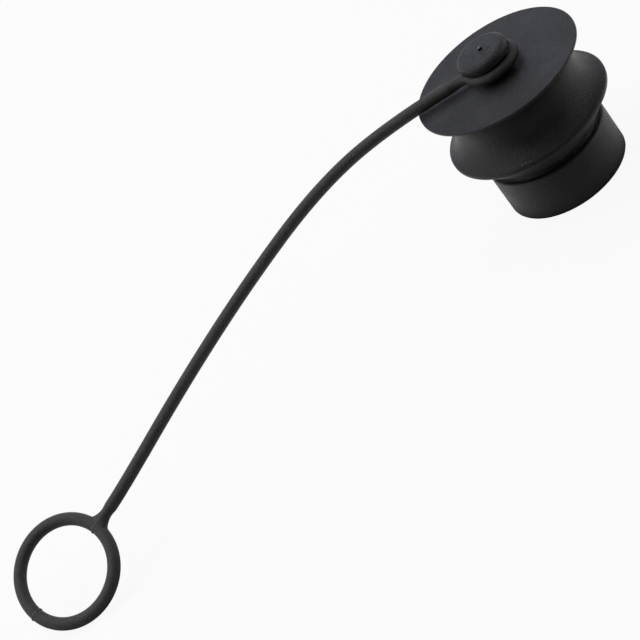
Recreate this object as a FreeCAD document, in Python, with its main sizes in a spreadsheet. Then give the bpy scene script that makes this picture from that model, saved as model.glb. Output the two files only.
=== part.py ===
"""Connector sealing cover: a moulded rubber cap with a lanyard on its button.

The cap stands on its open end, with the origin at the middle of that end and +Z along its axis.
The lanyard's small loop is sprung over the cap's button and turns there. Its cord reaches out
over the disc and comes down to a ring, whose edge rests on the ground.
"""
import FreeCAD
import Part
import Sketcher
import math
import os

SIZES = [
    # The cap, from its open end up. Heights are above that end.
    ("barrel_dia", 27.0, "outside of the barrel that plugs into the connector"),
    ("barrel_height", 10.2, "top shoulder of the barrel"),
    ("bore_dia", 21.2, "blind hollow inside the barrel"),
    ("bore_depth", 20.0, "floor of the hollow"),
    ("neck_dia", 24.0, "groove between the barrel and the skirt"),
    ("skirt_dia", 25.4, "lower edge of the skirt"),
    ("skirt_height", 11.35, "lower edge of the skirt"),
    ("rim_dia", 36.2, "outer rim of the skirt"),
    ("rim_height", 16.4, "lower edge of the rim's narrow land"),
    ("rim_land", 0.75, "height of that land"),
    ("waist_dia", 28.6, "narrowest part of the finger groove"),
    ("disc_dia", 36.2, "top disc"),
    ("lip_height", 29.1, "lower edge of the disc's thin lip"),
    ("cap_height", 29.6, "upper face of the disc"),
    # The button that the lanyard hangs on.
    ("stem_dia", 7.7, "stem of the button"),
    ("head_dia", 11.4, "head of the button"),
    ("head_thickness", 2.2, "head of the button"),
    ("gate_dia", 1.0, "gate mark on the head"),
    ("gate_height", 0.5, "gate mark on the head"),
    # Edges of the cap.
    ("head_round", 1.0, "upper edge of the head"),
    ("floor_chamfer", 1.5, "corner at the floor of the hollow"),
    ("mouth_chamfer", 0.6, "lead-in at the mouth of the hollow"),
    ("barrel_chamfer", 0.4, "edges of the barrel"),
    ("stem_chamfer", 0.4, "root of the stem and lower edge of the head"),
    ("edge_chamfer", 0.2, "thin edges of the disc and the skirt"),
    ("gate_chamfer", 0.2, "upper edge of the gate mark"),
    # The lanyard.
    ("cord_dia", 2.65, "cord, and the section of the small loop"),
    ("loop_clearance", 0.06, "gap all round the stem"),
    ("loop_lift", 0.6, "gap between the loop and the disc"),
    ("loop_headroom", 0.15, "gap between the loop and the button's head"),
    ("loop_neck", 3.6, "neck from the loop's outside to the cord"),
    ("loop_heading", 9.8, "degrees that the cord leaves off the -X axis, towards +Y"),
    ("ring_hole", 18.6, "hole of the large ring"),
    ("ring_section", 2.75, "section of the large ring"),
    ("ring_neck", 3.4, "neck from the ring's outside to the cord"),
    ("ring_place_x", -129.08, "middle of the ring"),
    ("ring_place_y", -20.8, "middle of the ring"),
    ("ring_heading", 13.5, "degrees that the ring's neck points off the +X axis"),
    ("ring_rise", 14.35, "degrees that the neck slopes up from the ring"),
    ("ring_roll", 30.7, "degrees that the ring leans over about its neck"),
    ("ring_lift", 0.02, "gap between the ring and the ground"),
]

# The cord between its two straight ends, in millimetres, as it hangs.
FREE_POINTS = [
    FreeCAD.Vector(-44.0, 4.9, 29.0),
    FreeCAD.Vector(-66.0, 0.8, 23.6),
    FreeCAD.Vector(-88.15, -6.0, 17.75),
]
LOOP_RUN = 15.6
RING_RUN = 3.9
ARC_SHARE = 0.45

# Flare of a neck: how far along it, as a share of its length from the middle of the loop's or
# ring's section, then width and thickness as shares of the cord's diameter.
LOOP_FLARE = [(0.0, 1.8, 0.92), (0.27, 1.35, 0.94), (0.5, 1.08, 0.98)]
RING_FLARE = [(0.0, 2.3, 0.92), (0.29, 1.5, 0.95), (0.5, 1.08, 0.98)]

# What stands between the ground and the button's head, whose stem is as long as the loop needs.
HEAD_STACK = ("cap_height", "loop_lift", "cord_dia", "loop_headroom")

FIT_LIMIT = 1e-4
VOLUME_LIMIT = 0.001

doc = FreeCAD.newDocument("sealing_cover")
sheet = doc.addObject("Spreadsheet::Sheet", "Sizes")
for row, (alias, value, meaning) in enumerate(SIZES, start=1):
    sheet.set("A%d" % row, meaning)
    sheet.set("B%d" % row, str(value))
    sheet.setAlias("B%d" % row, alias)
doc.recompute()


def size(alias):
    """A driving dimension, as a number."""
    return float(sheet.get(alias))


def half(alias):
    """A radius from a diameter in the sheet, as an expression and as a number."""
    return "Sizes.%s / 2" % alias, size(alias) / 2


def total(*aliases):
    """A sum of sheet values, as an expression and as a number."""
    return " + ".join("Sizes." + alias for alias in aliases), sum(size(alias) for alias in aliases)


ZERO = ("0", 0.0)


# Cap: one turned profile with rounded edges

def pin_corner(sketch, element, end, corner):
    """Ties an end of a sketch element to the sheet. A zero lies on that axis."""
    across, up = corner
    for kind, axis_line, value in (("DistanceX", -2, across), ("DistanceY", -1, up)):
        expression, number = value
        if expression == "0":
            sketch.addConstraint(Sketcher.Constraint("PointOnObject", element, end, axis_line))
        else:
            index = sketch.addConstraint(Sketcher.Constraint(kind, -1, 1, element, end, number))
            sketch.setExpression("Constraints[%d]" % index, expression)


def waist_arc(rim, lip):
    """The finger groove's arc from rim to lip, and the expression for its middle."""
    span = "(Sizes.lip_height - Sizes.rim_height - Sizes.rim_land) / 2"
    depth = "((Sizes.disc_dia + Sizes.rim_dia) / 4 - Sizes.waist_dia / 2)"
    middle = "Sizes.waist_dia / 2 + (({0})^2 + {1}^2) / (2 * {1})".format(span, depth)
    half_span = (size("lip_height") - size("rim_height") - size("rim_land")) / 2
    sag = (size("disc_dia") + size("rim_dia")) / 4 - size("waist_dia") / 2
    across = size("waist_dia") / 2 + (half_span ** 2 + sag ** 2) / (2 * sag)
    lip_reach = lip.x - across
    rim_reach = rim.x - across
    up = (lip.y + rim.y + (lip_reach ** 2 - rim_reach ** 2) / (lip.y - rim.y)) / 2
    radius = math.hypot(rim_reach, rim.y - up)
    start = math.atan2(lip.y - up, lip_reach)
    end = math.atan2(rim.y - up, rim_reach) + 2 * math.pi
    circle = Part.Circle(FreeCAD.Vector(across, up, 0), FreeCAD.Vector(0, 0, 1), radius)
    return Part.ArcOfCircle(circle, start, end), (middle, across)


def cap_profile(body):
    """Half of the cap's section, as a sketch on the XZ plane."""
    head_under = total(*HEAD_STACK)
    head_top = total(*HEAD_STACK, "head_thickness")
    gate_top = total(*HEAD_STACK, "head_thickness", "gate_height")
    below_waist = [
        (half("bore_dia"), ZERO),
        (half("barrel_dia"), ZERO),
        (half("barrel_dia"), total("barrel_height")),
        (half("neck_dia"), total("barrel_height")),
        (half("neck_dia"), total("skirt_height")),
        (half("skirt_dia"), total("skirt_height")),
        (half("rim_dia"), total("rim_height")),
        (half("rim_dia"), total("rim_height", "rim_land")),
    ]
    above_waist = [
        (half("disc_dia"), total("lip_height")),
        (half("disc_dia"), total("cap_height")),
        (half("stem_dia"), total("cap_height")),
        (half("stem_dia"), head_under),
        (half("head_dia"), head_under),
        (half("head_dia"), head_top),
        (half("gate_dia"), head_top),
        (half("gate_dia"), gate_top),
        (ZERO, gate_top),
        (ZERO, total("bore_depth")),
        (half("bore_dia"), total("bore_depth")),
    ]
    corners = below_waist + above_waist
    places = [FreeCAD.Vector(across[1], up[1], 0) for across, up in corners]
    waist = len(below_waist) - 1

    sketch = body.newObject("Sketcher::SketchObject", "cap_profile")
    plane = next(item for item in body.Origin.OriginFeatures if item.Role == "XZ_Plane")
    sketch.AttachmentSupport = [(plane, "")]
    sketch.MapMode = "FlatFace"
    arc, arc_middle = waist_arc(places[waist], places[waist + 1])
    for index, place in enumerate(places):
        following = places[(index + 1) % len(places)]
        sketch.addGeometry(arc if index == waist else Part.LineSegment(place, following))
    for index in range(len(places)):
        following = (index + 1) % len(places)
        own_end = 1 if index == waist else 2
        next_start = 2 if following == waist else 1
        sketch.addConstraint(Sketcher.Constraint("Coincident", index, own_end, following, next_start))
    for index, corner in enumerate(corners):
        pin_corner(sketch, index, 2 if index == waist else 1, corner)
    index = sketch.addConstraint(Sketcher.Constraint("DistanceX", -1, 1, waist, 3, arc_middle[1]))
    sketch.setExpression("Constraints[%d]" % index, arc_middle[0])
    return sketch


def edge_names(shape, circles):
    """The names of a shape's round edges that have these radii and heights."""
    names = []
    for radius, height in circles:
        for number, edge in enumerate(shape.Edges, start=1):
            if not isinstance(edge.Curve, Part.Circle):
                continue
            off = max(abs(edge.Curve.Radius - radius), abs(edge.Curve.Center.z - height))
            if off < FIT_LIMIT:
                names.append("Edge%d" % number)
                break
        else:
            raise RuntimeError("no round edge at radius %.3f, height %.3f" % (radius, height))
    return names


def dress(body, kind, label, cell, circles):
    """A fillet or chamfer on the named round edges of a body, its size bound to the sheet."""
    feature_type, property_name = kind
    base = body.Tip
    feature = body.newObject(feature_type, label)
    places = [(across[1], up[1]) for across, up in circles]
    feature.Base = (base, edge_names(base.Shape, places))
    feature.setExpression(property_name, "Sizes." + cell)
    doc.recompute()


def make_cap():
    body = doc.addObject("PartDesign::Body", "sealing_cap")
    sketch = cap_profile(body)
    doc.recompute()
    turned = body.newObject("PartDesign::Revolution", "turned_cap")
    turned.Profile = sketch
    turned.ReferenceAxis = (sketch, ["V_Axis"])
    turned.Angle = 360.0
    doc.recompute()

    barrel = half("barrel_dia")
    bore = half("bore_dia")
    stem = half("stem_dia")
    head = half("head_dia")
    disc_top = total("cap_height")
    head_under = total(*HEAD_STACK)
    head_top = total(*HEAD_STACK, "head_thickness")
    gate_top = total(*HEAD_STACK, "head_thickness", "gate_height")
    fillet = ("PartDesign::Fillet", "Radius")
    chamfer = ("PartDesign::Chamfer", "Size")
    dress(body, fillet, "head_edge", "head_round", [(head, head_top)])
    dress(body, chamfer, "hollow_corner", "floor_chamfer", [(bore, total("bore_depth"))])
    dress(body, chamfer, "mouth_lead_in", "mouth_chamfer", [(bore, ZERO)])
    dress(body, chamfer, "barrel_edges", "barrel_chamfer", [(barrel, ZERO), (barrel, total("barrel_height"))])
    dress(body, chamfer, "stem_edges", "stem_chamfer", [(stem, disc_top), (head, head_under)])
    dress(body, chamfer, "thin_edges", "edge_chamfer",
          [(half("disc_dia"), disc_top), (half("skirt_dia"), total("skirt_height"))])
    dress(body, chamfer, "gate_edge", "gate_chamfer", [(half("gate_dia"), gate_top)])
    return body


# Lanyard: a loop and a ring with flared necks, and the cord between them

# Turns a section's own plane to face along +X, with its width along +Y.
ACROSS_NECK = FreeCAD.Rotation(
    FreeCAD.Vector(0, 1, 0), FreeCAD.Vector(0, 0, 1), FreeCAD.Vector(1, 0, 0), "ZXY")


def make_eye(label, middle, section, neck, flare_steps):
    """A ring round +Z with a flared neck along +X. The sizes are sheet expressions."""
    ring = doc.addObject("Part::Torus", label + "_round")
    ring.setExpression("Radius1", middle)
    ring.setExpression("Radius2", section)
    sections = []
    for number, (share, width, thickness) in enumerate(flare_steps, start=1):
        oval = doc.addObject("Part::Ellipse", "%s_oval_%d" % (label, number))
        oval.setExpression("MajorRadius", "Sizes.cord_dia / 2 * %g" % width)
        oval.setExpression("MinorRadius", "Sizes.cord_dia / 2 * %g" % thickness)
        oval.Placement.Rotation = ACROSS_NECK
        oval.setExpression("Placement.Base.x", "%s + (%s + %s) * %g" % (middle, section, neck, share))
        sections.append(oval)
    end = doc.addObject("Part::Circle", label + "_end")
    end.setExpression("Radius", "Sizes.cord_dia / 2")
    end.Placement.Rotation = ACROSS_NECK
    end.setExpression("Placement.Base.x", "%s + %s + %s" % (middle, section, neck))
    sections.append(end)
    flare = doc.addObject("Part::Loft", label + "_neck")
    flare.Sections = sections
    flare.Solid = True
    flare.Ruled = False
    eye = doc.addObject("Part::Fuse", label)
    eye.Base = ring
    eye.Tool = flare
    eye.Refine = False
    return eye


def loop_placement():
    """The loop lies flat round the stem, with its neck along the cord's first run."""
    height = size("cap_height") + size("loop_lift") + size("cord_dia") / 2
    turn = FreeCAD.Rotation(FreeCAD.Vector(0, 0, 1), 180 - size("loop_heading"))
    return FreeCAD.Placement(FreeCAD.Vector(0, 0, height), turn)


def ring_placement():
    """The ring leans about its neck, with its lowest point at the ground."""
    turn = FreeCAD.Rotation(FreeCAD.Vector(0, 0, 1), size("ring_heading"))
    turn = turn.multiply(FreeCAD.Rotation(FreeCAD.Vector(0, 1, 0), -size("ring_rise")))
    turn = turn.multiply(FreeCAD.Rotation(FreeCAD.Vector(1, 0, 0), size("ring_roll")))
    normal = turn.multVec(FreeCAD.Vector(0, 0, 1))
    middle = (size("ring_hole") + size("ring_section")) / 2
    height = middle * math.hypot(normal.x, normal.y) + size("ring_section") / 2 + size("ring_lift")
    return FreeCAD.Placement(FreeCAD.Vector(size("ring_place_x"), size("ring_place_y"), height), turn)


def neck_end(placement, reach):
    """Where a neck ends, and the way it points."""
    along = placement.Rotation.multVec(FreeCAD.Vector(1, 0, 0))
    return placement.Base + along * reach, along


def cord_route():
    """Corners of the cord's route, from the loop's neck to the ring's neck."""
    loop_reach = size("stem_dia") / 2 + size("loop_clearance") + size("cord_dia") + size("loop_neck")
    ring_reach = size("ring_hole") / 2 + size("ring_section") + size("ring_neck")
    start, out = neck_end(loop_placement(), loop_reach)
    finish, back = neck_end(ring_placement(), ring_reach)
    return [start, start + out * LOOP_RUN] + FREE_POINTS + [finish + back * RING_RUN, finish]


def rounded_path(points):
    """Straight runs joined by tangent arcs, each as large as its two runs allow."""
    edges = []
    at = points[0]
    for before, corner, after in zip(points, points[1:], points[2:]):
        back = before - corner
        ahead = after - corner
        shorter = min(back.Length, ahead.Length)
        back.normalize()
        ahead.normalize()
        half_turn = (math.pi - back.getAngle(ahead)) / 2
        cut = ARC_SHARE * shorter
        radius = cut / math.tan(half_turn)
        inward = (back + ahead).normalize()
        middle = corner + inward * (radius / math.cos(half_turn) - radius)
        edges.append(Part.LineSegment(at, corner + back * cut).toShape())
        edges.append(Part.Arc(corner + back * cut, middle, corner + ahead * cut).toShape())
        at = corner + ahead * cut
        print("cord bend %.1f mm radius, %.1f degrees" % (radius, math.degrees(2 * half_turn)))
    edges.append(Part.LineSegment(at, points[-1]).toShape())
    return Part.Wire(edges)


def make_cord():
    points = cord_route()
    path = doc.addObject("Part::Feature", "cord_path")
    path.Shape = rounded_path(points)
    section = doc.addObject("Part::Circle", "cord_section")
    section.setExpression("Radius", "Sizes.cord_dia / 2")
    facing = FreeCAD.Rotation(FreeCAD.Vector(0, 0, 1), points[1] - points[0])
    section.Placement = FreeCAD.Placement(points[0], facing)
    cord = doc.addObject("Part::Sweep", "lanyard_cord")
    cord.Sections = [section]
    cord.Spine = (path, ["Edge%d" % number for number in range(1, len(path.Shape.Edges) + 1)])
    cord.Solid = True
    cord.Frenet = False
    doc.recompute()
    expected = math.pi * (size("cord_dia") / 2) ** 2 * path.Shape.Length
    print("cord length %.2f mm, volume %.3f of %.3f mm3" % (
        path.Shape.Length, cord.Shape.Volume, expected))
    if abs(cord.Shape.Volume - expected) > VOLUME_LIMIT * expected:
        raise RuntimeError("the cord's volume doesn't match its length")
    return cord


cap = make_cap()
loop = make_eye("lanyard_loop", "Sizes.stem_dia / 2 + Sizes.loop_clearance + Sizes.cord_dia / 2",
                "Sizes.cord_dia / 2", "Sizes.loop_neck", LOOP_FLARE)
loop.Placement = loop_placement()
ring = make_eye("lanyard_ring", "(Sizes.ring_hole + Sizes.ring_section) / 2",
                "Sizes.ring_section / 2", "Sizes.ring_neck", RING_FLARE)
ring.Placement = ring_placement()
cord = make_cord()
doc.recompute()

for item in doc.Objects:
    if "Invalid" in item.State or "Error" in item.State:
        raise RuntimeError("%s could not be made: %s" % (item.Name, item.State))
pieces = [cap, loop, cord, ring]
for piece in pieces:
    shape = piece.Shape
    if shape.isNull() or not shape.isValid() or len(shape.Solids) != 1:
        raise RuntimeError("%s isn't one sound solid" % piece.Label)
os.makedirs("parts", exist_ok=True)
for piece in pieces:
    piece.Shape.exportStep("parts/%s.step" % piece.Label)
    box = piece.Shape.optimalBoundingBox()
    print("%s: %.1f mm3, x %.2f..%.2f y %.2f..%.2f z %.2f..%.2f" % (
        piece.Label, piece.Shape.Volume, box.XMin, box.XMax, box.YMin, box.YMax, box.ZMin, box.ZMax))
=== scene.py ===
"""Looks of the connector sealing cover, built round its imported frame.

The cap is turned again with soft moulded edges, the loop and the ring are smoothed over their
necks, and the cord is one curve between them. Lengths are in metres.
"""
import math
import bmesh
import bpy
from mathutils import Matrix, Quaternion, Vector


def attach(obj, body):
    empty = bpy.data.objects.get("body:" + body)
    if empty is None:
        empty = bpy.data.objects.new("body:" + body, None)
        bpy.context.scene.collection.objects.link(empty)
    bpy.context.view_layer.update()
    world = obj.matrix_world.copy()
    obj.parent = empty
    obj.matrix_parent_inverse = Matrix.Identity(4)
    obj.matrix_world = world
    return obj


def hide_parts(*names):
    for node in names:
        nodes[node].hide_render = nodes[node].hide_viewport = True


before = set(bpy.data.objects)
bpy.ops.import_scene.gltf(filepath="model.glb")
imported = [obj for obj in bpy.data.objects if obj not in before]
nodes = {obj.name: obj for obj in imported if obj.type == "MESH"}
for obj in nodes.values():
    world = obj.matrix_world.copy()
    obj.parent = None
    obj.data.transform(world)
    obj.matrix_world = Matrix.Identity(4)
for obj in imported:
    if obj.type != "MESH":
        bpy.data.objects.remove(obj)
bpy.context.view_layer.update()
scene = bpy.context.scene
scene.view_settings.view_transform = "Standard"

MM = 0.001
# Slack in comparing places, in metres, and the distance within which points are merged.
SAME_PLACE = 1e-6
MERGE_WITHIN = 1e-7

# Camera: where it stands, the point it looks at, and how far it is rolled over.
CAMERA_PLACE = Vector((-18.86, -421.18, 264.5)) * MM
CAMERA_AIM = Vector((-59.45, 2.61, 5.18)) * MM
CAMERA_ROLL = math.radians(-39.27)
CAMERA_LENS = 134.85
SENSOR_WIDTH = 36.0
CAMERA_REACH = 10.0

# Softboxes: place, width and height, brightness where 1 is white, and colour.
WHITE = (1.0, 1.0, 1.0)
COOL = (0.81, 0.845, 1.0)
WARM = (1.0, 0.92, 0.82)
LAMP_AIM = Vector((-0.04, 0.0, 0.02))
SOFTBOXES = {
    "top_light": ((-0.2, 0.0, 0.7), (0.7, 0.35), 1.5, WHITE),
    "top_back_light": ((-0.1, 0.42, 0.58), (0.9, 0.4), 1.85, COOL),
    "back_light": ((-0.05, 0.75, 0.1), (1.4, 0.2), 1.15, COOL),
    "left_light_high": ((-0.6, 0.0, 0.5), (0.5, 0.35), 1.8, WHITE),
    "left_light_low": ((-0.75, 0.05, 0.2), (0.6, 0.35), 1.1, WHITE),
    "right_light_high": ((0.55, 0.0, 0.5), (0.5, 0.35), 0.95, WHITE),
    "right_light_low": ((0.7, 0.05, 0.2), (0.6, 0.35), 1.15, WHITE),
    "front_light": ((-0.05, -0.5, 0.58), (0.7, 0.35), 0.1, WARM),
}
ROOM_LEVEL = 0.03

# Floor: its own tone, the tone that the camera sees, and how much of it is plain white.
FLOOR_HALF_WIDTH = 3.0
FLOOR_DROP = 0.2 * MM
FLOOR_TONE = 0.42
FLOOR_SEEN_TONE = 0.8
FLOOR_GLOW = 0.92
FLOOR_MIRRORED = 1.05
# In the cap's gloss the floor glows, bright beside and behind the cap; its fall-off in front is
# painted shade and its fall-off close round is a painted shadow of the cap.
FLOOR_DIM_Y = -27.0 * MM
FLOOR_BRIGHT_Y = -2.0 * MM
FLOOR_SLANT = 0.05
FLOOR_SHADOW_R = 14.4 * MM
FLOOR_SHADOW_END_R = 18.0 * MM

# Half section of the cap. Heights are above its open end.
BARREL_R = 13.5 * MM
BARREL_TOP = 10.2 * MM
BORE_R = 10.6 * MM
BORE_FLOOR = 20.0 * MM
MOUTH_CHAMFER = 0.6 * MM
FLOOR_CHAMFER = 1.5 * MM
NECK_R = 12.0 * MM
SKIRT_R = 12.7 * MM
SKIRT_Z = 11.35 * MM
RIM_R = 18.1 * MM
RIM_LOW = 16.49 * MM
RIM_TOP = 17.23 * MM
WAIST_R = 14.3 * MM
DISC_R = 18.16 * MM
LIP_Z = 29.1 * MM
DISC_Z = 29.6 * MM
STEM_R = 3.6 * MM
HEAD_R = 5.7 * MM
HEAD_LOW = 33.0 * MM
HEAD_TOP = 35.2 * MM
WAIST_STEPS = 28
TURN_STEPS = 160

# Radii of the cap's edges.
HEAD_ROUND = 1.25 * MM
STEM_ROUND = 0.3 * MM
BARREL_ROUND = 0.45 * MM
SKIRT_ROUND = 0.3 * MM
LIP_ROUND = 0.18 * MM
LAND_ROUND = 0.05 * MM

# The crease above the rim is open over part of the way round, in degrees, and closes up beyond it.
CREASE_DEPTH = 0.45 * MM
CREASE_WIDTH = 0.35 * MM
CREASE_DROP = 0.05 * MM
CREASE_MARGIN = 0.2 * MM
CREASE_MIDDLE = -95.0
CREASE_OPEN = 30.0
CREASE_CLOSED = 46.0

# The disc is pulled a little off the axis, from the waist up, and the head leans further.
DISC_SHIFT = Vector((-0.13, -0.07, 0.0)) * MM
DISC_SHIFT_FROM = 23.0 * MM
HEAD_SHIFT = Vector((-0.47, 0.57, -0.05)) * MM
HEAD_TILT = math.radians(-1.5)
STEM_MARGIN = 1.0 * MM
HEAD_SLACK = 0.01 * MM

# Gate mark on the head, a little off its middle, with a sloping torn face.
GATE_PLACE = Vector((-0.35, 0.42, 35.2)) * MM
GATE_R = 0.55 * MM
GATE_TAPER = 0.72
GATE_HEIGHT = 0.5 * MM
GATE_ROOT = 0.1 * MM
GATE_ROUND = 0.12 * MM
GATE_STEPS = 20
TEAR_R = 0.34 * MM
TEAR_TAPER = 0.94
TEAR_THICK = 0.12 * MM
TEAR_PROUD = 0.02 * MM
TEAR_RISE = 0.16 * MM
TEAR_SKEW = 0.3

# Flecks along the crease: the way round from the X axis in degrees, half the length, and thickness.
FLECKS = (
    (-114.6, 0.26 * MM, 0.17 * MM),
    (-112.1, 0.24 * MM, 0.11 * MM),
    (-110.3, 0.2 * MM, 0.11 * MM),
    (-108.2, 0.22 * MM, 0.12 * MM),
    (-106.4, 0.16 * MM, 0.11 * MM),
)
FLECK_R = 17.52 * MM
FLECK_Z = 17.52 * MM

# The cord's route, from the loop's neck to the ring's neck.
CORD_ROUTE = [Vector(point) * MM for point in (
    (-10.012, 1.729, 31.525),
    (-25.384, 4.385, 31.525),
    (-44.0, 4.9, 29.0),
    (-66.0, 0.8, 23.6),
    (-88.15, -6.0, 17.75),
    (-110.852, -16.424, 12.097),
    (-114.526, -17.306, 11.13),
)]
CORD_DIAMETER = 2.65 * MM
CORD_ROUND_STEPS = 10
CORD_LONG_STEPS = 32
LOOP_WAY = (CORD_ROUTE[1] - CORD_ROUTE[0]).normalized()

# The loop hangs a little towards its cord and is slimmer than the cord. This fades out at its neck.
LOOP_SHIFT = Vector((-0.2, 0.05, 0.05)) * MM
LOOP_SLIM = 0.2 * MM
LOOP_REACH = 6.6 * MM

# Both eyes are evened out to small faces and smoothed, and their necks reach into the cord.
EYE_FACES = 0.14 * MM
EYE_SMOOTHING = 18
NECK_OVERLAP = 0.5 * MM
NECK_END_DEPTH = 0.01 * MM

# The large ring: its middle, the way its neck points, its face, and the side of its neck.
RING_MIDDLE = Vector((-129.08, -20.8, 7.301)) * MM
RING_NECK = (CORD_ROUTE[-2] - CORD_ROUTE[-1]).normalized()
RING_FACE = Vector((-0.08804, -0.54619, 0.83302)).normalized()
RING_SIDE = RING_FACE.cross(RING_NECK).normalized()
RING_R = 10.675 * MM
RING_SECTION_R = 1.375 * MM

# Mould lines across the ring, and on along its neck: distance out, half width and height there.
LINE_WIDTH = 0.26 * MM
LINE_HEIGHT = 0.08 * MM
LINE_ROOT = 0.06 * MM
LINE_STRETCH = 1.05
LINE_STEPS = 64
NECK_LINE = (
    (10.4 * MM, 0.14 * MM, 1.40 * MM),
    (12.4 * MM, 0.13 * MM, 1.36 * MM),
    (14.4 * MM, 0.09 * MM, 1.35 * MM),
    (16.0 * MM, 0.03 * MM, 1.28 * MM),
)
NECK_LINE_ROOT = 0.2 * MM

# Grain of the disc's top and the button: its scale, its spread, and the tones between which it lies.
FACE_GRAIN = 2800.0
FACE_SPREAD = (0.4, 0.66)
FACE_DARK = (0.001, 0.001, 0.001)
FACE_LIGHT = (0.032, 0.0302, 0.0302)

# Painted shade on the loop, under the button's head on the side away from its cord: the middle of
# that patch, its reach and its tone.
LOOP_SHADE_MIDDLE = Vector((2.5, -2.5, 31.5)) * MM
LOOP_SHADE_FULL_R = 2.0 * MM
LOOP_SHADE_END_R = 12.0 * MM
LOOP_SHADE_TONE = 0.35

# Rubbers: dark and light tone, range of roughness, scale of the grain, strength of its relief, and
# the range of grain and patches together over which the tone runs.
EVEN_SPREAD = (0.86, 1.14)
RUBBERS = {
    "cap_black": ((0.0022, 0.0019, 0.0015), (0.0235, 0.0222, 0.0205), (0.42, 0.58), 3000.0, 0.75,
                  (0.92, 1.26)),
    "lanyard_black": ((0.043, 0.0415, 0.0395), (0.066, 0.064, 0.061), (0.48, 0.6), 4000.0, 0.8,
                      EVEN_SPREAD),
    # The loop's copy of the lanyard's rubber, which carries the painted shade under the button's
    # head.
    "loop_shaded_black": ((0.043, 0.0415, 0.0395), (0.066, 0.064, 0.061), (0.48, 0.6), 4000.0, 0.8,
                   EVEN_SPREAD),
    # Painted highlight: the mould lines' ridges in a lighter grey copy of the lanyard's rubber.
    "line_highlight_grey": ((0.17, 0.167, 0.162), (0.25, 0.246, 0.24), (0.4, 0.5), 4000.0, 0.3, EVEN_SPREAD),
    # Painted shade: the gate's stub in a darker copy of the cap's rubber.
    "gate_shaded_black": ((0.003, 0.003, 0.003), (0.008, 0.008, 0.008), (0.35, 0.45), 2600.0, 0.2,
                   EVEN_SPREAD),
    # Partly the paler torn rubber, partly a painted highlight on the gate's torn face.
    "tear_highlight_grey": ((0.15, 0.147, 0.142), (0.22, 0.216, 0.21), (0.3, 0.4), 2600.0, 0.2, EVEN_SPREAD),
    # Painted highlight: the flecks along the crease in a light tan.
    "fleck_highlight_tan": ((0.2, 0.165, 0.125), (0.32, 0.27, 0.205), (0.6, 0.7), 2600.0, 0.2, EVEN_SPREAD),
}
GLOSS_SPREAD = (0.8, 1.2)
GRAIN_SCALE = 3000.0
PATCH_SCALE = 140.0
PIT_SHARE = 0.35
RELIEF_DEPTH = 0.2 * MM


# Studio

def add_camera():
    data = bpy.data.cameras.new("camera")
    data.lens = CAMERA_LENS
    data.sensor_width = SENSOR_WIDTH
    data.clip_end = CAMERA_REACH
    camera = bpy.data.objects.new("camera", data)
    scene.collection.objects.link(camera)
    camera.location = CAMERA_PLACE
    aim = (CAMERA_AIM - CAMERA_PLACE).to_track_quat("-Z", "Y")
    camera.rotation_mode = "QUATERNION"
    camera.rotation_quaternion = aim @ Quaternion((0, 0, 1), CAMERA_ROLL)
    scene.camera = camera


def add_softbox(name, place, size, level, colour):
    """An area lamp whose face has the given brightness."""
    width, height = size
    data = bpy.data.lights.new(name, "AREA")
    data.shape = "RECTANGLE"
    data.size = width
    data.size_y = height
    data.energy = level * math.pi * width * height
    data.color = colour
    lamp = bpy.data.objects.new(name, data)
    scene.collection.objects.link(lamp)
    lamp.location = place
    lamp.rotation_euler = (LAMP_AIM - Vector(place)).to_track_quat("-Z", "Y").to_euler()
    lamp.visible_camera = False


def add_node(tree, kind, values=None, **settings):
    """A shader node with its settings, and values for its inputs by name or number."""
    node = tree.nodes.new("ShaderNode" + kind)
    for name, setting in settings.items():
        setattr(node, name, setting)
    for socket, value in (values or {}).items():
        node.inputs[socket].default_value = value
    return node


def add_room():
    """A dim room that the camera sees as white."""
    world = bpy.data.worlds.new("room")
    scene.world = world
    world.use_nodes = True
    tree = world.node_tree
    back = tree.nodes["Background"]
    back.inputs["Color"].default_value = (1, 1, 1, 1)
    path = add_node(tree, "LightPath")
    level = add_node(tree, "MapRange", {"To Min": ROOM_LEVEL, "To Max": 1.0})
    tree.links.new(path.outputs["Is Camera Ray"], level.inputs["Value"])
    tree.links.new(level.outputs["Result"], back.inputs["Strength"])


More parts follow.
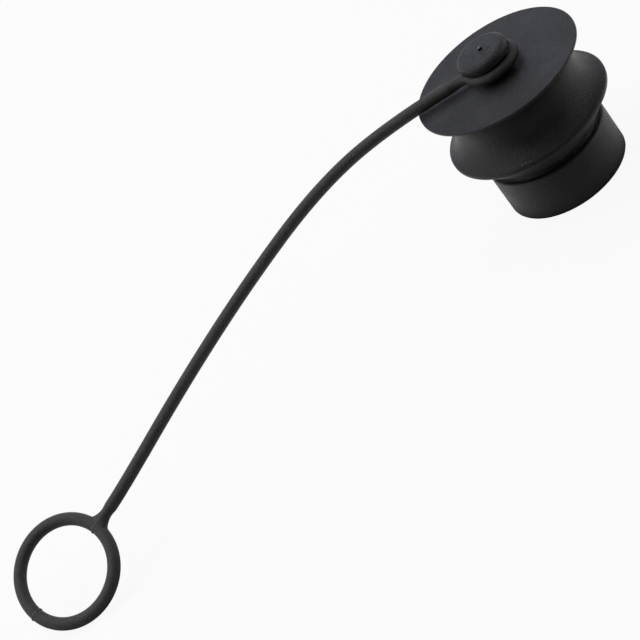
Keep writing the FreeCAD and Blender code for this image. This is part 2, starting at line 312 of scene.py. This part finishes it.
def floor_white():
    """Pale paint that the camera sees as white but for a faint shadow, and that glows in the gloss,
    with painted shade in front and a painted shadow close round.
    """
    material = bpy.data.materials.new("floor_white")
    material.use_nodes = True
    tree = material.node_tree
    link = tree.links.new
    paint = tree.nodes["Principled BSDF"]
    paint.inputs["Roughness"].default_value = 0.9
    glow = add_node(tree, "Emission")
    path = add_node(tree, "LightPath")
    place = add_node(tree, "TexCoord")
    tone = add_node(tree, "MapRange", {"To Min": FLOOR_TONE, "To Max": FLOOR_SEEN_TONE})
    apart = add_node(tree, "SeparateXYZ")
    slant = add_node(tree, "Math", {1: FLOOR_SLANT}, operation="MULTIPLY_ADD")
    fade = add_node(tree, "MapRange", {"From Min": FLOOR_DIM_Y, "From Max": FLOOR_BRIGHT_Y})
    away = add_node(tree, "VectorMath", operation="LENGTH")
    clear = add_node(tree, "MapRange", {"From Min": FLOOR_SHADOW_R, "From Max": FLOOR_SHADOW_END_R,
                                        "To Max": FLOOR_MIRRORED})
    bright = add_node(tree, "Math", operation="MULTIPLY")
    mirrored = add_node(tree, "Math", operation="MULTIPLY")
    seen = add_node(tree, "Math", operation="MAXIMUM")
    share = add_node(tree, "Math", {1: FLOOR_GLOW}, operation="MULTIPLY")
    blend = add_node(tree, "MixShader")
    link(path.outputs["Is Camera Ray"], tone.inputs["Value"])
    link(tone.outputs["Result"], paint.inputs["Base Color"])
    link(place.outputs["Object"], apart.inputs["Vector"])
    link(apart.outputs["X"], slant.inputs[0])
    link(apart.outputs["Y"], slant.inputs[2])
    link(slant.outputs["Value"], fade.inputs["Value"])
    link(place.outputs["Object"], away.inputs[0])
    link(away.outputs["Value"], clear.inputs["Value"])
    link(fade.outputs["Result"], bright.inputs[0])
    link(clear.outputs["Result"], bright.inputs[1])
    link(bright.outputs["Value"], mirrored.inputs[0])
    link(path.outputs["Is Glossy Ray"], mirrored.inputs[1])
    link(path.outputs["Is Camera Ray"], seen.inputs[0])
    link(mirrored.outputs["Value"], seen.inputs[1])
    link(seen.outputs["Value"], share.inputs[0])
    link(share.outputs["Value"], blend.inputs["Fac"])
    link(paint.outputs["BSDF"], blend.inputs[1])
    link(glow.outputs["Emission"], blend.inputs[2])
    link(blend.outputs["Shader"], tree.nodes["Material Output"].inputs["Surface"])
    return material


def add_floor():
    shape = bmesh.new()
    bmesh.ops.create_grid(shape, x_segments=1, y_segments=1, size=FLOOR_HALF_WIDTH)
    bmesh.ops.translate(shape, verts=shape.verts, vec=(0, 0, -FLOOR_DROP))
    floor = add_mesh("floor", shape, floor_white())


# Materials

def moulded_skin():
    """Skin of a rubber moulding: fine grain from the mould, and slow patches from handling."""
    group = bpy.data.node_groups.new("moulded_skin", "ShaderNodeTree")
    socket = group.interface.new_socket
    socket("Grain Scale", in_out="INPUT", socket_type="NodeSocketFloat").default_value = GRAIN_SCALE
    socket("Patch Scale", in_out="INPUT", socket_type="NodeSocketFloat").default_value = PATCH_SCALE
    socket("Grain", in_out="OUTPUT", socket_type="NodeSocketFloat")
    socket("Patch", in_out="OUTPUT", socket_type="NodeSocketFloat")
    socket("Height", in_out="OUTPUT", socket_type="NodeSocketFloat")
    link = group.links.new
    entry = group.nodes.new("NodeGroupInput")
    result = group.nodes.new("NodeGroupOutput")
    place = add_node(group, "TexCoord")
    grain = add_node(group, "TexNoise", {"Detail": 2.0, "Roughness": 0.65})
    patch = add_node(group, "TexNoise", {"Detail": 4.0, "Roughness": 0.55})
    pits = add_node(group, "TexVoronoi")
    height = add_node(group, "Math", {1: PIT_SHARE}, operation="MULTIPLY_ADD")
    for texture in (grain, patch, pits):
        link(place.outputs["Object"], texture.inputs["Vector"])
    link(entry.outputs["Grain Scale"], grain.inputs["Scale"])
    link(entry.outputs["Grain Scale"], pits.inputs["Scale"])
    link(entry.outputs["Patch Scale"], patch.inputs["Scale"])
    link(pits.outputs["Distance"], height.inputs[0])
    link(grain.outputs["Fac"], height.inputs[2])
    link(grain.outputs["Fac"], result.inputs["Grain"])
    link(patch.outputs["Fac"], result.inputs["Patch"])
    link(height.outputs["Value"], result.inputs["Height"])
    return group


def black_rubber(name, skin, dark, light, roughness, grain_scale, bump, spread_over):
    """Matt rubber between two tones, with a range of roughness."""
    material = bpy.data.materials.new(name)
    material.use_nodes = True
    tree = material.node_tree
    link = tree.links.new
    shader = tree.nodes["Principled BSDF"]
    shader.inputs["Specular IOR Level"].default_value = 0.5
    face = add_node(tree, "Group", node_tree=skin)
    face.inputs["Grain Scale"].default_value = grain_scale
    tone = add_node(tree, "Math", operation="ADD")
    spread = add_node(tree, "MapRange", {"From Min": spread_over[0], "From Max": spread_over[1]})
    colour = add_node(tree, "Mix", {"A": (*dark, 1), "B": (*light, 1)}, data_type="RGBA")
    gloss = add_node(tree, "MapRange", {"From Min": GLOSS_SPREAD[0], "From Max": GLOSS_SPREAD[1],
                                        "To Min": roughness[0], "To Max": roughness[1]})
    relief = add_node(tree, "Bump", {"Strength": bump, "Distance": RELIEF_DEPTH})
    link(face.outputs["Grain"], tone.inputs[0])
    link(face.outputs["Patch"], tone.inputs[1])
    link(tone.outputs["Value"], spread.inputs["Value"])
    link(spread.outputs["Result"], colour.inputs["Factor"])
    link(colour.outputs["Result"], shader.inputs["Base Color"])
    link(tone.outputs["Value"], gloss.inputs["Value"])
    link(gloss.outputs["Result"], shader.inputs["Roughness"])
    link(face.outputs["Height"], relief.inputs["Height"])
    link(relief.outputs["Normal"], shader.inputs["Normal"])
    return material


def add_face_grain(material, skin):
    """The coarser, dustier grain of the disc's top and the button, over the cap's own colour."""
    tree = material.node_tree
    link = tree.links.new
    shader = tree.nodes["Principled BSDF"]
    under = shader.inputs["Base Color"].links[0].from_socket
    place = add_node(tree, "TexCoord")
    apart = add_node(tree, "SeparateXYZ")
    above = add_node(tree, "MapRange", {"From Min": LIP_Z, "From Max": DISC_Z})
    face = add_node(tree, "Group", node_tree=skin)
    face.inputs["Grain Scale"].default_value = FACE_GRAIN
    spread = add_node(tree, "MapRange", {"From Min": FACE_SPREAD[0], "From Max": FACE_SPREAD[1]})
    speckle = add_node(tree, "Mix", {"A": (*FACE_DARK, 1), "B": (*FACE_LIGHT, 1)}, data_type="RGBA")
    whole = add_node(tree, "Mix", data_type="RGBA")
    link(place.outputs["Object"], apart.inputs["Vector"])
    link(apart.outputs["Z"], above.inputs["Value"])
    link(face.outputs["Grain"], spread.inputs["Value"])
    link(spread.outputs["Result"], speckle.inputs["Factor"])
    link(above.outputs["Result"], whole.inputs["Factor"])
    link(under, whole.inputs["A"])
    link(speckle.outputs["Result"], whole.inputs["B"])
    link(whole.outputs["Result"], shader.inputs["Base Color"])


def paint_shade_by_button(material):
    """Painted shade on the loop where the button's head overhangs it, fading out towards its cord."""
    tree = material.node_tree
    link = tree.links.new
    shader = tree.nodes["Principled BSDF"]
    under = shader.inputs["Base Color"].links[0].from_socket
    place = add_node(tree, "TexCoord")
    reach = add_node(tree, "VectorMath", {1: LOOP_SHADE_MIDDLE}, operation="DISTANCE")
    share = add_node(tree, "MapRange", {"From Min": LOOP_SHADE_FULL_R, "From Max": LOOP_SHADE_END_R,
                                        "To Min": LOOP_SHADE_TONE})
    darker = add_node(tree, "Mix", {"Factor": 1.0}, data_type="RGBA", blend_type="MULTIPLY")
    link(place.outputs["Object"], reach.inputs[0])
    link(reach.outputs["Value"], share.inputs["Value"])
    link(under, darker.inputs["A"])
    link(share.outputs["Result"], darker.inputs["B"])
    link(darker.outputs["Result"], shader.inputs["Base Color"])


# Pieces

def add_mesh(name, shape, material, smooth=True):
    """A finished bmesh as an object at the origin."""
    mesh = bpy.data.meshes.new(name)
    for face in shape.faces:
        face.smooth = smooth
    shape.to_mesh(mesh)
    shape.free()
    mesh.materials.append(material)
    piece = bpy.data.objects.new(name, mesh)
    scene.collection.objects.link(piece)
    return piece


def turn_round(shape, outline, steps):
    """Turns an outline of vertices and edges once round the Z axis, and closes it."""
    bmesh.ops.spin(shape, geom=outline, cent=(0, 0, 0), axis=(0, 0, 1), dvec=(0, 0, 0),
                   angle=2 * math.pi, steps=steps, use_merge=True, use_duplicate=False)
    bmesh.ops.remove_doubles(shape, verts=shape.verts, dist=MERGE_WITHIN)
    bmesh.ops.recalc_face_normals(shape, faces=shape.faces)


def part_way(value, start, end):
    """How far a value has come from start to end, between 0 and 1."""
    return min(max((value - start) / (end - start), 0), 1)


def waist_points():
    """The finger groove from lip to rim, on the arc through its narrowest place."""
    half_span = (LIP_Z - RIM_TOP) / 2
    sag = (DISC_R + RIM_R) / 2 - WAIST_R
    across = WAIST_R + (half_span ** 2 + sag ** 2) / (2 * sag)
    lip_reach = DISC_R - across
    rim_reach = RIM_R - across
    up = (LIP_Z + RIM_TOP + (lip_reach ** 2 - rim_reach ** 2) / (LIP_Z - RIM_TOP)) / 2
    radius = math.hypot(rim_reach, RIM_TOP - up)
    first = math.atan2(LIP_Z - up, lip_reach)
    last = math.atan2(RIM_TOP - up, rim_reach) + 2 * math.pi
    points = []
    for step in range(WAIST_STEPS + 1):
        angle = first + (last - first) * step / WAIST_STEPS
        points.append((across + radius * math.cos(angle), up + radius * math.sin(angle)))
    return points


def round_edges(shape, places, radius, segments):
    """Rounds the turned edges at these distances from the axis and heights."""
    found = []
    for edge in shape.edges:
        ends = [(Vector(v.co[:2]).length, v.co.z) for v in edge.verts]
        for across, up in places:
            if all(abs(r - across) < SAME_PLACE and abs(z - up) < SAME_PLACE for r, z in ends):
                found.append(edge)
                break
    bmesh.ops.bevel(shape, geom=found, offset=radius, offset_type="OFFSET", segments=segments,
                    profile=0.5, affect="EDGES", material=-1, clamp_overlap=True)


def close_crease(shape, shoulder):
    """Brings the bottom of the crease out to the surface, away from the part that is open."""
    across, up = RIM_R - CREASE_DEPTH, RIM_TOP - CREASE_DROP
    out = (shoulder[0] + RIM_R) / 2 - across
    lift = (shoulder[1] + RIM_TOP) / 2 - up
    for vert in shape.verts:
        reach = Vector(vert.co[:2]).length
        if abs(reach - across) > SAME_PLACE or abs(vert.co.z - up) > SAME_PLACE:
            continue
        away = abs(math.degrees(math.atan2(vert.co.y, vert.co.x)) - CREASE_MIDDLE)
        share = part_way(away, CREASE_OPEN, CREASE_CLOSED)
        vert.co.x *= 1 + share * out / reach
        vert.co.y *= 1 + share * out / reach
        vert.co.z += share * lift


def sharpen_crease(shape):
    """Keeps the shading crisp along the crease."""
    low = RIM_TOP - 2 * CREASE_DROP
    high = RIM_TOP + CREASE_WIDTH + CREASE_MARGIN
    for edge in shape.edges:
        if all(low < vert.co.z < high for vert in edge.verts):
            edge.smooth = False


def lean_top(shape):
    """Pulls the disc off the axis and leans the head. The stem stays upright inside the loop."""
    for vert in shape.verts:
        vert.co += DISC_SHIFT * part_way(vert.co.z, DISC_SHIFT_FROM, DISC_Z)
    leaning = []
    for vert in shape.verts:
        outside = Vector(vert.co[:2]).length > STEM_R + STEM_MARGIN
        if vert.co.z > HEAD_LOW + HEAD_SLACK or (outside and vert.co.z > HEAD_LOW - HEAD_SLACK):
            leaning.append(vert)
    tilt = Matrix.Rotation(HEAD_TILT, 3, "Y")
    bmesh.ops.rotate(shape, verts=leaning, cent=(0, 0, HEAD_TOP), matrix=tilt)
    bmesh.ops.translate(shape, verts=leaning, vec=HEAD_SHIFT)


def add_cap(material):
    waist = [point for point in waist_points() if point[1] > RIM_TOP + CREASE_WIDTH]
    outline = [
        (0, HEAD_TOP), (HEAD_R, HEAD_TOP), (HEAD_R, HEAD_LOW), (STEM_R, HEAD_LOW), (STEM_R, DISC_Z),
        (DISC_R, DISC_Z),
        *waist,
        (RIM_R - CREASE_DEPTH, RIM_TOP - CREASE_DROP),
        (RIM_R, RIM_TOP), (RIM_R, RIM_LOW), (SKIRT_R, SKIRT_Z), (NECK_R, SKIRT_Z),
        (NECK_R, BARREL_TOP), (BARREL_R, BARREL_TOP), (BARREL_R, 0), (BORE_R + MOUTH_CHAMFER, 0),
        (BORE_R, MOUTH_CHAMFER), (BORE_R, BORE_FLOOR - FLOOR_CHAMFER),
        (BORE_R - FLOOR_CHAMFER, BORE_FLOOR), (0, BORE_FLOOR),
    ]
    shape = bmesh.new()
    corners = [shape.verts.new((across, 0, up)) for across, up in outline]
    runs = [shape.edges.new(pair) for pair in zip(corners, corners[1:])]
    turn_round(shape, corners + runs, TURN_STEPS)
    close_crease(shape, waist[-1])
    round_edges(shape, [(HEAD_R, HEAD_TOP)], HEAD_ROUND, 8)
    round_edges(shape, [(HEAD_R, HEAD_LOW), (STEM_R, DISC_Z), (STEM_R, HEAD_LOW)], STEM_ROUND, 3)
    round_edges(shape, [(BARREL_R, 0), (BARREL_R, BARREL_TOP)], BARREL_ROUND, 4)
    round_edges(shape, [(SKIRT_R, SKIRT_Z)], SKIRT_ROUND, 5)
    round_edges(shape, [(DISC_R, DISC_Z), (RIM_R, RIM_LOW)], LIP_ROUND, 3)
    round_edges(shape, [(RIM_R, RIM_TOP)], LAND_ROUND, 2)
    sharpen_crease(shape)
    lean_top(shape)
    cap = add_mesh("cap_moulding", shape, material)
    even = cap.modifiers.new("even_shading", "WEIGHTED_NORMAL")
    even.weight = 100
    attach(cap, "cap")
    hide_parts("sealing_cap")


def slope_tear(verts):
    """Slopes part of the gate's stub, as it tore off."""
    for vert in verts:
        vert.co.z += TEAR_RISE * (vert.co.x + TEAR_SKEW * vert.co.y) / GATE_R


def add_gate_mark(material):
    """The torn stub of the gate, wider at its root and uneven on top; its darker rubber is painted
    shade on its walls.
    """
    shape = bmesh.new()
    bmesh.ops.create_cone(shape, cap_ends=True, cap_tris=False, segments=GATE_STEPS, radius1=GATE_R,
                          radius2=GATE_TAPER * GATE_R, depth=GATE_HEIGHT + GATE_ROOT)
    top = [vert for vert in shape.verts if vert.co.z > 0]
    slope_tear(top)
    rim = [edge for edge in shape.edges if edge.verts[0] in top and edge.verts[1] in top]
    bmesh.ops.bevel(shape, geom=rim, offset=GATE_ROUND, offset_type="OFFSET", segments=3,
                    profile=0.5, affect="EDGES", material=-1)
    lift = (GATE_HEIGHT - GATE_ROOT) / 2
    bmesh.ops.translate(shape, verts=shape.verts, vec=GATE_PLACE + Vector((0, 0, lift)))
    gate = add_mesh("gate_mark", shape, material)
    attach(gate, "cap")


def add_gate_tear(material):
    """The torn face on top of the gate's stub, let into it; its light grey is partly the paler torn
    rubber and partly a painted highlight.
    """
    shape = bmesh.new()
    bmesh.ops.create_cone(shape, cap_ends=True, cap_tris=False, segments=GATE_STEPS, radius1=TEAR_R,
                          radius2=TEAR_TAPER * TEAR_R, depth=TEAR_THICK)
    slope_tear(shape.verts)
    lift = GATE_HEIGHT + TEAR_PROUD - TEAR_THICK / 2
    bmesh.ops.translate(shape, verts=shape.verts, vec=GATE_PLACE + Vector((0, 0, lift)))
    tear = add_mesh("gate_tear", shape, material, smooth=False)
    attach(tear, "cap")


def add_flecks(material):
    """Bits of flash along the crease, light tan as a painted highlight."""
    shape = bmesh.new()
    for azimuth, length, thick in FLECKS:
        crumb = bmesh.ops.create_icosphere(shape, subdivisions=1, radius=1.0)["verts"]
        bmesh.ops.scale(shape, verts=crumb, vec=(thick, length, thick))
        bmesh.ops.translate(shape, verts=crumb, vec=(FLECK_R, 0, FLECK_Z))
        turn = Matrix.Rotation(math.radians(azimuth), 3, "Z")
        bmesh.ops.rotate(shape, verts=crumb, cent=(0, 0, 0), matrix=turn)
    flecks = add_mesh("crease_flecks", shape, material)
    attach(flecks, "cap")


def hang_loop(shape, neck_end):
    """Shifts the loop towards its cord and slims it, less and less towards the end of its neck."""
    shape.normal_update()
    reach = Vector(neck_end[:2]).length
    for vert in shape.verts:
        share = part_way(Vector(vert.co[:2]).length, reach, LOOP_REACH)
        vert.co += (LOOP_SHIFT - vert.normal * LOOP_SLIM) * share


def add_eye(name, node, neck_end, neck_way, material, hanging=False):
    """A loop or ring over its CAD node, with the corner at its neck smoothed as a moulding's is."""
    mesh = nodes[node].data.copy()
    mesh.name = name
    mesh.materials.clear()
    mesh.materials.append(material)
    shape = bmesh.new()
    shape.from_mesh(mesh)
    bmesh.ops.remove_doubles(shape, verts=shape.verts, dist=SAME_PLACE)
    bmesh.ops.recalc_face_normals(shape, faces=shape.faces)
    # The neck reaches a little into the cord, so that no gap shows between them.
    end = [vert for vert in shape.verts if abs((vert.co - neck_end).dot(neck_way)) < NECK_END_DEPTH]
    bmesh.ops.translate(shape, verts=end, vec=neck_way * NECK_OVERLAP)
    if hanging:
        hang_loop(shape, neck_end)
    shape.to_mesh(mesh)
    shape.free()
    eye = bpy.data.objects.new(name, mesh)
    scene.collection.objects.link(eye)
    even = eye.modifiers.new("even_faces", "REMESH")
    even.mode = "VOXEL"
    even.voxel_size = EYE_FACES
    even.use_smooth_shade = True
    soft = eye.modifiers.new("moulded_corner", "SMOOTH")
    soft.factor = 0.5
    soft.iterations = EYE_SMOOTHING
    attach(eye, "lanyard")
    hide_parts(node)
    return eye


def add_witness_line(name, place, material):
    """A thin ridge round the ring's section, where the two halves of the mould met, lighter grey as a
    painted highlight.
    """
    shape = bmesh.new()
    root = RING_SECTION_R - LINE_ROOT
    low = shape.verts.new((root, 0, -LINE_WIDTH / 2))
    tip = shape.verts.new((RING_SECTION_R + LINE_HEIGHT, 0, 0))
    high = shape.verts.new((root, 0, LINE_WIDTH / 2))
    runs = [shape.edges.new(pair) for pair in ((low, tip), (tip, high), (high, low))]
    turn_round(shape, [low, tip, high] + runs, LINE_STEPS)
    bmesh.ops.scale(shape, verts=shape.verts, vec=(LINE_STRETCH, 1.0, 1.0))
    across = RING_FACE.cross(RING_SIDE).normalized()
    turn = Matrix((across, RING_FACE, RING_SIDE)).transposed()
    bmesh.ops.transform(shape, matrix=Matrix.Translation(place) @ turn.to_4x4(), verts=shape.verts)
    line = add_mesh(name, shape, material)
    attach(line, "lanyard")
    return line


def add_neck_line(material):
    """The same ridge running out along the top of the ring's neck."""
    shape = bmesh.new()
    ends = []
    for reach, width, top in NECK_LINE:
        foot = RING_MIDDLE + RING_NECK * reach
        root = foot + RING_FACE * (top - NECK_LINE_ROOT)
        low = shape.verts.new(root - RING_SIDE * width)
        tip = shape.verts.new(foot + RING_FACE * top)
        high = shape.verts.new(root + RING_SIDE * width)
        ends.append((low, tip, high))
    for near, far in zip(ends, ends[1:]):
        for first, second in ((0, 1), (1, 2), (2, 0)):
            shape.faces.new((near[first], near[second], far[second], far[first]))
    shape.faces.new(ends[0])
    shape.faces.new(ends[-1])
    bmesh.ops.recalc_face_normals(shape, faces=shape.faces)
    line = add_mesh("ring_line_neck", shape, material)
    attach(line, "lanyard")
    return line


def add_cord(material):
    curve = bpy.data.curves.new("lanyard_line", "CURVE")
    curve.dimensions = "3D"
    curve.bevel_depth = CORD_DIAMETER / 2
    curve.bevel_resolution = CORD_ROUND_STEPS
    curve.resolution_u = CORD_LONG_STEPS
    curve.use_fill_caps = True
    spline = curve.splines.new("NURBS")
    spline.points.add(len(CORD_ROUTE) - 1)
    for point, place in zip(spline.points, CORD_ROUTE):
        point.co = (*place, 1.0)
    spline.order_u = 3
    spline.use_endpoint_u = True
    spline.use_smooth = True
    curve.materials.append(material)
    cord = bpy.data.objects.new("lanyard_line", curve)
    scene.collection.objects.link(cord)
    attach(cord, "lanyard")
    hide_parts("lanyard_cord")


add_camera()
for lamp_name, lamp_row in SOFTBOXES.items():
    add_softbox(lamp_name, *lamp_row)
add_room()
add_floor()

skin = moulded_skin()
rubber = {name: black_rubber(name, skin, *row) for name, row in RUBBERS.items()}
add_face_grain(rubber["cap_black"], skin)
paint_shade_by_button(rubber["loop_shaded_black"])

add_cap(rubber["cap_black"])
add_gate_mark(rubber["gate_shaded_black"])
add_gate_tear(rubber["tear_highlight_grey"])
add_flecks(rubber["fleck_highlight_tan"])
loop = add_eye("loop_moulding", "lanyard_loop", CORD_ROUTE[0], LOOP_WAY, rubber["loop_shaded_black"],
               hanging=True)
ring = add_eye("ring_moulding", "lanyard_ring", CORD_ROUTE[-1], RING_NECK, rubber["lanyard_black"])
near_place = RING_MIDDLE + RING_NECK * RING_R
far_place = RING_MIDDLE - RING_NECK * RING_R
near_line = add_witness_line("ring_line_near", near_place, rubber["line_highlight_grey"])
far_line = add_witness_line("ring_line_far", far_place, rubber["line_highlight_grey"])
neck_line = add_neck_line(rubber["line_highlight_grey"])
add_cord(rubber["lanyard_black"])
